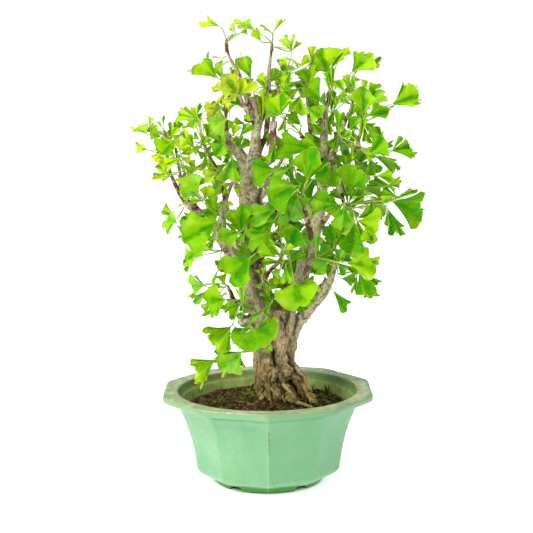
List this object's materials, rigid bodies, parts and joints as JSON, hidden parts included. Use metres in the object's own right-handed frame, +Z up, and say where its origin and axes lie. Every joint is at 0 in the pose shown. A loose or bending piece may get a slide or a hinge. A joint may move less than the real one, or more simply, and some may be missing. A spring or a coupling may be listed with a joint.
{
  "type": "ginkgo bonsai in a pot",
  "caption": "Broom-form ginkgo bonsai with fan-shaped leaves on long petioles, rooted in a mint green ten-sided glazed ceramic pot.",
  "frame": {"origin": "centre of the overall box on the surface the pot stands on; the pot's own axis is 18 mm to the left and 10 mm to the front of it", "axes": "+Z up along the trunk, +X to the right of the front view, -Y towards the front"},
  "size_m": [0.3708, 0.3068, 0.6082],
  "materials": {
    "glaze": "satin",
    "soil": "matte",
    "bark": "matte",
    "leaf_green": "satin",
    "leaf_yellow_green": "satin"
  },
  "bodies": {
    "root": {"pot": "glaze", "soil": "soil", "tree_wood": "bark", "leaf_spray_01": "leaf_yellow_green", "leaf_spray_02": "leaf_green", "leaf_spray_03": "leaf_green", "leaf_spray_04": "leaf_green", "leaf_spray_05": "leaf_green", "leaf_spray_06": "leaf_green", "leaf_spray_07": "leaf_green", "leaf_spray_08": "leaf_yellow_green", "leaf_spray_09": "leaf_yellow_green", "leaf_spray_10": "leaf_green", "leaf_spray_11": "leaf_green", "leaf_spray_12": "leaf_green", "leaf_spray_13": "leaf_green", "leaf_spray_14": "leaf_green", "leaf_spray_15": "leaf_yellow_green", "leaf_spray_16": "leaf_green", "leaf_spray_17": "leaf_green", "leaf_spray_18": "leaf_green", "leaf_spray_19": "leaf_green", "leaf_spray_20": "leaf_green", "leaf_spray_21": "leaf_green", "leaf_spray_22": "leaf_green", "leaf_spray_23": "leaf_green", "leaf_spray_24": "leaf_green", "leaf_spray_25": "leaf_green", "leaf_spray_26": "leaf_green", "leaf_spray_27": "leaf_green", "leaf_spray_28": "leaf_green", "leaf_spray_29": "leaf_green", "leaf_spray_30": "leaf_green", "leaf_spray_31": "leaf_green", "leaf_spray_32": "leaf_green", "leaf_spray_33": "leaf_green", "leaf_spray_34": "leaf_green", "leaf_spray_35": "leaf_green", "leaf_spray_36": "leaf_green", "leaf_spray_37": "leaf_green", "leaf_spray_38": "leaf_green", "leaf_spray_39": "leaf_green", "leaf_spray_40": "leaf_green", "leaf_spray_41": "leaf_green", "leaf_spray_42": "leaf_green", "leaf_spray_43": "leaf_green"}
  },
  "joints": []
}
